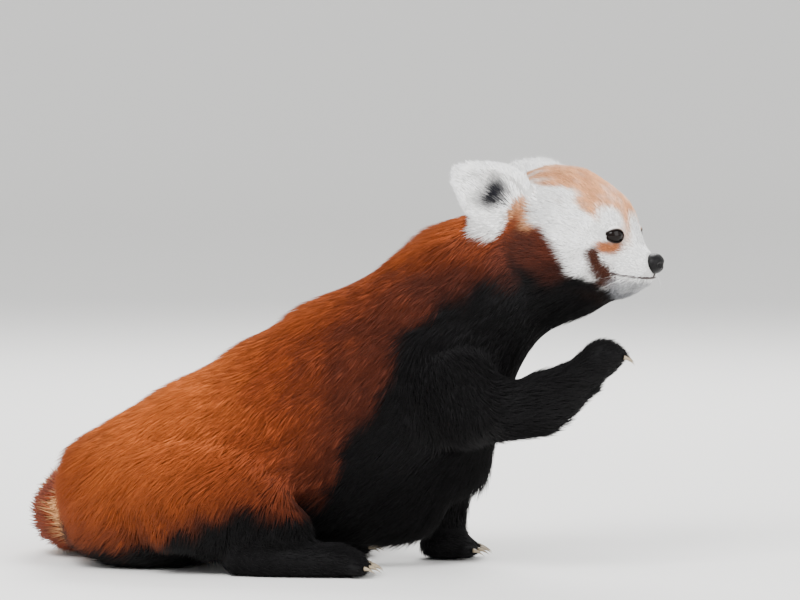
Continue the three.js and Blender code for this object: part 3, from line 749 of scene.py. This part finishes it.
lie = lieOfCoat()
hair = {
    "feet": 0.55, "thighs": 0.009, "faceX": (-0.010, 0.050), "face": 0.52,
    "ruffX": (0.012, -0.030), "ruffZ": (0.02, -0.02), "ruff": 0.012,
    "feetWidth": 0.35, "faceWidth": 0.25, "lowest": 0.0008,
}
faceFront = smooth(*hair["faceX"], local[:, 0]) * surface.share("head")
ruff = surface.share("head") * smooth(*hair["ruffX"], local[:, 0]) * smooth(*hair["ruffZ"], local[:, 2])
hairLength = surface.value("length") * (1 - hair["feet"] * feet) + hair["thighs"] * surface.thighs()
hairLength = hairLength * (1 - hair["face"] * faceFront) + hair["ruff"] * ruff
hairWidth = surface.value("width") * (1 - hair["feetWidth"] * feet) * (1 - hair["faceWidth"] * faceFront)
hairLift = surface.value("lift")
fromNose = np.linalg.norm(surface.points - fromHead([head["nose"]])[0], axis=1)
clear = smooth(*skinLook["noseClear"], fromNose)
for side in (-1, 1):
    clear *= smooth(*lids["hairFrom"], eyeReach(local, side)[0])
clear *= surface.points[:, 2] > hair["lowest"]

# An unwrap of the skin's own shape, which the tufts take their places from
unwrap = {"angle": 70, "margin": 0.001}
makeActive(skin)
bpy.ops.object.mode_set(mode="EDIT")
bpy.ops.mesh.select_all(action="SELECT")
bpy.ops.uv.smart_project(angle_limit=math.radians(unwrap["angle"]), island_margin=unwrap["margin"])
bpy.ops.object.mode_set(mode="OBJECT")
skin.data.uv_layers[0].name = "OFBake"
print("skin unwrapped")

paintPoints(skin.data, markingsAndShade(surface.points, surface.belongs) * skinLook["shade"])
skin.data.materials.clear()
skin.data.materials.append(hairMaterial("undercoat", 0.0))
makeActive(skin)
bpy.ops.object.shade_smooth()
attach(skin, "root")
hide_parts(*fleshNodes)

# The coat: tufts of solid mesh, each a six-faced spindle that bends along the lie of the hair
corners = trianglesOf(skin.data)
loops = np.empty(len(corners) * 3, dtype=np.int32)
skin.data.loop_triangles.foreach_get("loops", loops)
loops = loops.reshape(-1, 3)
unwrapped = np.empty(len(skin.data.loops) * 2, dtype=np.float32)
skin.data.uv_layers["OFBake"].data.foreach_get("uv", unwrapped)
unwrapped = unwrapped.reshape(-1, 2)
triangleArea = doubleArea(surface.points[corners]) * clear[corners].mean(axis=1)
coat = {
    "body": {"regions": ("torso", "neck"), "count": 100000, "slot": "red_coat"},
    "tail": {"regions": ("tail",), "count": 36000, "slot": "ringed_coat"},
    "legs": {"regions": ("leg",), "count": 48000, "slot": "black_coat"},
    "head": {"regions": ("head", "ear"), "count": 60000, "slot": "pale_coat"},
}
coatLook = {
    "patch": 0.003, "perPiece": 180000, "allowed": (0.35, 0.6), "sheen": 0.012,
    "rootShade": 0.70, "midShade": 0.95, "tipShade": 1.10, "tintSpread": 0.11, "tintRipple": 0.09,
    "tintWave": {"wavelength": 0.016, "seed": 33}, "swayWave": {"wavelength": 0.030, "seed": 21},
    "lengths": (0.7, 1.15), "widths": (0.75, 1.2), "lifts": (0.45, 1.5),
    "sway": 0.20, "swaySpread": 0.6, "belly": 0.34, "height": 0.35, "droop": 0.45,
    "rootDepth": 0.0012, "rootPoint": 0.0008, "lowest": 0.0002, "patchWide": 0.8,
}
spindleFaces = ((0, 2, 1), (0, 3, 2), (0, 1, 3), (4, 1, 2), (4, 2, 3), (4, 3, 1))
coatMaterial = hairMaterial("coat", coatLook["sheen"])


def tuftMesh(name, count, allowed, seed):
    rng = np.random.default_rng(seed)
    chance = triangleArea * allowed[corners].mean(axis=1)
    pick = rng.choice(len(corners), count, p=chance / chance.sum())
    share = rng.dirichlet((1, 1, 1), count)

    def at(values):
        return np.einsum("nk,nk...->n...", share, values[corners[pick]])

    root, normal, way = at(surface.points), unit(at(normals)), unit(at(lie))
    weights = at(surface.belongs)
    patch = np.einsum("nk,nkd->nd", share, unwrapped[loops[pick]])
    side = unit(np.cross(normal, way))
    swing = ripple(root, **coatLook["swayWave"]) + coatLook["swaySpread"] * rng.normal(size=count)
    swing = coatLook["sway"] * swing
    way = unit(way + side * swing[:, None])
    side = unit(np.cross(normal, way))
    length = at(hairLength) * rng.uniform(*coatLook["lengths"], count)
    width = at(hairWidth) * rng.uniform(*coatLook["widths"], count)
    lift = at(hairLift) * rng.uniform(*coatLook["lifts"], count)
    tint = 1 + coatLook["tintSpread"] * rng.normal(size=count)
    tint = tint + coatLook["tintRipple"] * ripple(root, **coatLook["tintWave"])
    tint = markingsAndShade(root, weights) * tint[:, None]

    def spine(s):
        rise = length * lift * (s - coatLook["droop"] * s * s) - coatLook["rootDepth"] * (1 - s)
        return root + way * (length * s)[:, None] + normal * rise[:, None]

    # a point in the skin, three corners where the tuft is broadest, and its tip
    belly, size = coatLook["belly"], coatLook["patch"]
    middle = spine(belly)
    places = [spine(0) - normal * coatLook["rootPoint"]]
    colour = [tint * coatLook["rootShade"]]
    spots = [patch - (0, size * 0.5)]
    for across, over in ((-0.5, 0), (0.5, 0), (0, coatLook["height"])):
        places.append(middle + side * (width * across)[:, None] + normal * (width * over)[:, None])
        colour.append(tint * coatLook["midShade"])
        spots.append(patch + size * np.array([coatLook["patchWide"] * across, belly - 0.5]))
    places.append(spine(1))
    colour.append(tint * coatLook["tipShade"])
    spots.append(patch + (0, size * 0.5))
    starts = len(places) * np.arange(count)
    places = np.stack(places, axis=1).reshape(-1, 3)
    places[:, 2] = np.maximum(places[:, 2], coatLook["lowest"])
    colour = np.clip(np.stack(colour, axis=1).reshape(-1, 3), 0.001, 0.98)
    spots = np.clip(np.stack(spots, axis=1).reshape(-1, 2), 0, 1)
    faces = (np.array(spindleFaces)[None] + starts[:, None, None]).reshape(-1, 3)
    mesh = bpy.data.meshes.new(name)
    mesh.vertices.add(len(places))
    mesh.vertices.foreach_set("co", places.astype(np.float32).ravel())
    mesh.loops.add(faces.size)
    mesh.loops.foreach_set("vertex_index", faces.astype(np.int32).ravel())
    mesh.polygons.add(len(faces))
    mesh.polygons.foreach_set("loop_start", np.arange(0, faces.size, 3, dtype=np.int32))
    mesh.polygons.foreach_set("use_smooth", np.ones(len(faces), dtype=bool))
    mesh.update(calc_edges=True)
    paintPoints(mesh, colour)
    layer = mesh.uv_layers.new(name="OFBake")
    layer.data.foreach_set("uv", spots[faces.ravel()].astype(np.float32).ravel())
    return mesh


coatTriangles = 0
for order, (name, part) in enumerate(coat.items()):
    allowed = smooth(*coatLook["allowed"], sum(surface.share(region) for region in part["regions"]))
    pieces = math.ceil(part["count"] * len(spindleFaces) / coatLook["perPiece"])
    for i in range(pieces):
        mesh = tuftMesh(f"coat_{name}_{i + 1}", part["count"] // pieces, allowed, 100 * order + i)
        piece = newPiece(mesh.name, mesh)
        mesh.materials.append(coatMaterial)
        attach(piece, "root")
        coatTriangles += len(mesh.polygons)
print("coat laid:", coatTriangles, "triangles")

# Eyes: a wet dark ball in each opening, with a lid round it
eye = {
    "segments": 48, "rings": 32, "iris": linear(52, 27, 15), "irisShare": 0.08,
    "roughness": 0.04, "gloss": 0.16,
}
eyeMaterial = newMaterial("wetEye", {
    "Base Color": (*eye["iris"] * eye["irisShare"], 1), "Roughness": eye["roughness"],
    "Specular IOR Level": eye["gloss"]})[0]
lidMaterial = hairMaterial("lid", 0.0)


def lidMesh(name, side):
    # a band of bare skin round the eye's almond opening, dark at its edge, that ends under the coat
    around, out = lids["around"], lids["out"]
    ahead, across, upward = gazeAxes(side)
    places, shares = [], []
    for k in range(out + 1):
        share = k / out
        radius = lids["edgeRadius"] + (lids["outerRadius"] - lids["edgeRadius"]) * share * share
        for i in range(around):
            angle = 2 * math.pi * i / around
            along = lids["wide"] * math.cos(angle) * (1 + lids["spread"] * lids["sideSpread"] * share)
            narrowed = 1 - lids["almond"] * math.cos(angle) ** 2
            up = lids["tall"] * math.sin(angle) * narrowed * (1 + lids["spread"] * share)
            forward = math.sqrt(max(radius ** 2 - along ** 2 - up ** 2, 1e-8))
            way = ahead * forward + across * along + upward * up
            places.append(mirrored(head["eye"], side) + unit(way) * radius)
            shares.append(share)
    places = fromHead(np.array(places))
    weights = np.tile(np.eye(len(regionNames))[regionNames.index("head")], (len(places), 1))
    skinColour = markingsAndShade(places, weights) * lids["shade"]
    fade = smooth(*lids["edgeShare"], np.array(shares)[:, None])
    colour = lids["edge"] + (skinColour - lids["edge"]) * fade
    faces = []
    for k in range(out):
        for i in range(around):
            inner, after = k * around, (i + 1) % around
            faces.append((inner + i, inner + after, inner + around + after, inner + around + i))
    mesh = bpy.data.meshes.new(f"lid_{name}")
    mesh.from_pydata([tuple(place) for place in places], [], faces)
    paintPoints(mesh, colour)
    piece = newPiece(mesh.name, mesh)
    faceOutwards(piece)
    applyModifier(piece, "SOLIDIFY", thickness=lids["thick"], offset=0)
    applyModifier(piece, "SUBSURF", levels=1, render_levels=1)
    bpy.ops.object.shade_smooth()
    return piece


for name, side in (("left", 1), ("right", -1)):
    bpy.ops.mesh.primitive_uv_sphere_add(
        segments=eye["segments"], ring_count=eye["rings"], radius=head["eyeRadius"],
        location=fromHead([mirrored(head["eye"], side)])[0])
    ball = bpy.context.object
    ball.name = f"eye_ball_{name}"
    settle(ball)
    ball.data.materials.append(eyeMaterial)
    bpy.ops.object.shade_smooth()
    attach(ball, "root")
    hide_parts(f"eye_{name}")

    lid = lidMesh(name, side)
    lid.data.materials.append(lidMaterial)
    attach(lid, "root")

# Nose: a flattened ball with two nostrils and the groove below them pressed in
nose = {
    "grow": 1.14, "segments": 72, "rings": 48,
    "nostrilAt": (0.0055, 0.0044, -0.0008), "nostrilReach": 0.0021, "nostrilDepth": 0.0032,
    "nostrilShape": (0.6, 0.8, 1.25), "groove": 0.0009, "grooveWide": 0.0007, "grooveZ": (0.002, -0.002),
    "colour": linear(10, 9, 10), "roughness": 0.36, "gloss": 0.14, "grain": 1400, "grainDepth": 0.0003,
}
bpy.ops.mesh.primitive_uv_sphere_add(segments=nose["segments"], ring_count=nose["rings"], radius=1)
pad = bpy.context.object
pad.name = "nose_pad"
shape = coordinates(pad.data) * np.array(head["noseSize"]) * nose["grow"]
for side in (-1, 1):
    fromNostril = (shape - mirrored(nose["nostrilAt"], side)) * nose["nostrilShape"]
    reach = np.linalg.norm(fromNostril, axis=1) / nose["nostrilReach"]
    shape[:, 0] -= nose["nostrilDepth"] * np.exp(-reach ** 2)
inFront = (shape[:, 0] > 0) * smooth(*nose["grooveZ"], shape[:, 2])
shape[:, 0] -= nose["groove"] * np.exp(-(shape[:, 1] / nose["grooveWide"]) ** 2) * inFront
setCoordinates(pad.data, fromHead(shape + np.array(head["nose"])))
makeActive(pad)
bpy.ops.object.shade_smooth()
pad.data.materials.append(bumpedMaterial(
    "nosePad", nose["colour"], nose["roughness"], nose["grain"], nose["grainDepth"], nose["gloss"]))
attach(pad, "root")
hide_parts("nose")

# The line of the mouth runs round the muzzle on the skin, and a groove joins it to the nose
mouth = {
    "halfAngle": 74, "centre": (0.040, 0, -0.0285), "points": 40, "smile": 0.16,
    "groove": (-0.0225, -0.0285), "groovePoints": 6, "thick": 0.0010,
    "colour": linear(40, 26, 24), "roughness": 0.5, "grain": 900, "grainDepth": 0.0002,
}
skinTree = rayTree(surface.points, corners)


def ontoSkin(rays):
    # where rays given in the head's frame come out of the skin
    hits = [skinTree.ray_cast(headMatrix @ Vector(at), headMatrix.to_3x3() @ Vector(way).normalized())[0]
            for at, way in rays]
    return [hit for hit in hits if hit is not None]


lipRays = []
for angle in np.radians(np.linspace(-mouth["halfAngle"], mouth["halfAngle"], mouth["points"] + 1)):
    upward = mouth["smile"] * (1 - math.cos(angle))
    lipRays.append((mouth["centre"], (math.cos(angle), math.sin(angle), upward)))
middleX = mouth["centre"][0]
grooveRays = [((middleX, 0, z), (1, 0, 0)) for z in np.linspace(*mouth["groove"], mouth["groovePoints"])]
curve = bpy.data.curves.new("mouth_line", "CURVE")
curve.dimensions = "3D"
curve.bevel_depth = mouth["thick"]
curve.bevel_resolution = 3
curve.use_fill_caps = True
for linePoints in (ontoSkin(lipRays), ontoSkin(grooveRays)):
    spline = curve.splines.new("POLY")
    spline.points.add(len(linePoints) - 1)
    for place, knot in zip(linePoints, spline.points):
        knot.co = (*place, 1)
makeActive(newPiece("mouth_line", curve))
bpy.ops.object.convert(target="MESH")
mouthLine = bpy.context.object
mouthLine.data.materials.append(bumpedMaterial(
    "lips", mouth["colour"], mouth["roughness"], mouth["grain"], mouth["grainDepth"]))
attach(mouthLine, "root")

# Claws: one is modelled from a cone, then copied to the end of each toe
claw = {
    "long": 0.0100, "radius": 0.0019, "tip": 0.0001, "sides": 12, "cuts": 5, "hook": 0.0045,
    "toes": 5, "fan": 15, "ahead": 0.00385, "bow": 0.5, "spread": 1.35, "low": 0.3, "raise": 0.0015,
    "colour": linear(136, 122, 100), "roughness": 0.4, "grain": 500, "grainDepth": 0.0001,
}
paws = {
    "hind_left": {"at": (0.136, 0.084, 0.012), "turn": 3, "size": (0.028, 0.024, 0.016)},
    "hind_right": {"at": (0.136, -0.084, 0.012), "turn": -3, "size": (0.028, 0.024, 0.016)},
    "fore_left": {"at": (0.230, 0.053, 0.012), "turn": -6, "size": (0.025, 0.024, 0.014)},
    "fore_right": {"at": (0.355, -0.060, 0.169), "turn": 10, "size": (0.017, 0.018, 0.014),
                   "lift": 38, "curl": 50},
}
bpy.ops.mesh.primitive_cone_add(
    vertices=claw["sides"], radius1=claw["radius"], radius2=claw["tip"], depth=claw["long"],
    location=(claw["long"] / 2, 0, 0), rotation=(0, math.pi / 2, 0))
pattern = bpy.context.object
settle(pattern)
bpy.ops.object.mode_set(mode="EDIT")
bpy.ops.mesh.select_all(action="SELECT")
bpy.ops.mesh.subdivide(number_cuts=claw["cuts"])
bpy.ops.object.mode_set(mode="OBJECT")
shape = coordinates(pattern.data)
shape[:, 2] -= claw["hook"] * (shape[:, 0] / claw["long"]) ** 2
setCoordinates(pattern.data, shape)
allClaws = []
for paw in paws.values():
    long, wide, tall = paw["size"]
    base = (Matrix.Translation(paw["at"]) @ Matrix.Rotation(math.radians(paw["turn"]), 4, "Z")
            @ Matrix.Rotation(-math.radians(paw.get("lift", 0)), 4, "Y"))
    for i in range(claw["toes"]):
        share = i / (claw["toes"] - 1) - 0.5
        reach = long * (1 - claw["bow"] * share * share) + claw["ahead"]
        copy = newPiece("claw", pattern.data.copy())
        copy.matrix_world = (
            base @ Matrix.Translation((0, share * wide * claw["spread"], 0))
            @ Matrix.Rotation(math.radians(share * 2 * claw["fan"]), 4, "Z")
            @ Matrix.Translation((reach, 0, -tall * claw["low"] + claw["raise"]))
            @ Matrix.Rotation(math.radians(paw.get("curl", 0)), 4, "Y"))
        settle(copy)
        allClaws.append(copy)
bpy.data.objects.remove(pattern)
claws = joinAll(allClaws)
claws.name = "claws"
bpy.ops.object.shade_smooth()
claws.data.materials.append(bumpedMaterial(
    "claw", claw["colour"], claw["roughness"], claw["grain"], claw["grainDepth"]))
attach(claws, "root")
print("eyes, nose, mouth and claws made")

# Whiskers: fine stiff hairs from the side of the muzzle, swept back
whisker = {
    "count": 11, "long": 0.042, "lengths": (0.55, 1.0), "radius": 0.00022, "rings": 7,
    "pad": (0.062, 0.015, -0.024), "padSize": (0.005, 0.0025, 0.005),
    "ahead": (-0.25, 0.5), "up": (-0.35, 0.30), "sweep": (-0.35, 0, -0.22),
    "colour": (0.8, 0.79, 0.77, 1), "roughness": 0.4,
}
draw = np.random.default_rng(9)
places, faces = [], []
for side in (-1, 1):
    for i in range(whisker["count"]):
        start = mirrored(whisker["pad"], side) + draw.uniform(-1, 1, 3) * whisker["padSize"]
        least, extra = whisker["ahead"]
        way = unit(np.array((least + extra * draw.random(), side, draw.uniform(*whisker["up"]))))
        long = whisker["long"] * draw.uniform(*whisker["lengths"])
        first = len(places)
        for k in range(whisker["rings"]):
            s = k / whisker["rings"]
            middle = start + way * long * s + np.array(whisker["sweep"]) * long * s * s
            for corner in range(3):
                angle = 2 * math.pi * corner / 3
                spread = np.array((math.cos(angle), 0, math.sin(angle)))
                places.append(middle + spread * whisker["radius"] * (1 - s))
        places.append(start + way * long + np.array(whisker["sweep"]) * long)
        faces.append((first, first + 1, first + 2))
        for k in range(whisker["rings"] - 1):
            for corner in range(3):
                a, b = first + 3 * k + corner, first + 3 * k + (corner + 1) % 3
                faces.append((a, a + 3, b + 3, b))
        last = first + 3 * (whisker["rings"] - 1)
        faces += [(last + corner, len(places) - 1, last + (corner + 1) % 3) for corner in range(3)]
mesh = bpy.data.meshes.new("whiskers")
mesh.from_pydata([tuple(place) for place in fromHead(places)], [], faces)
whiskers = newPiece("whiskers", mesh)
faceOutwards(whiskers)
whiskers.data.materials.append(newMaterial(
    "whisker", {"Base Color": whisker["colour"], "Roughness": whisker["roughness"]})[0])
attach(whiskers, "root")
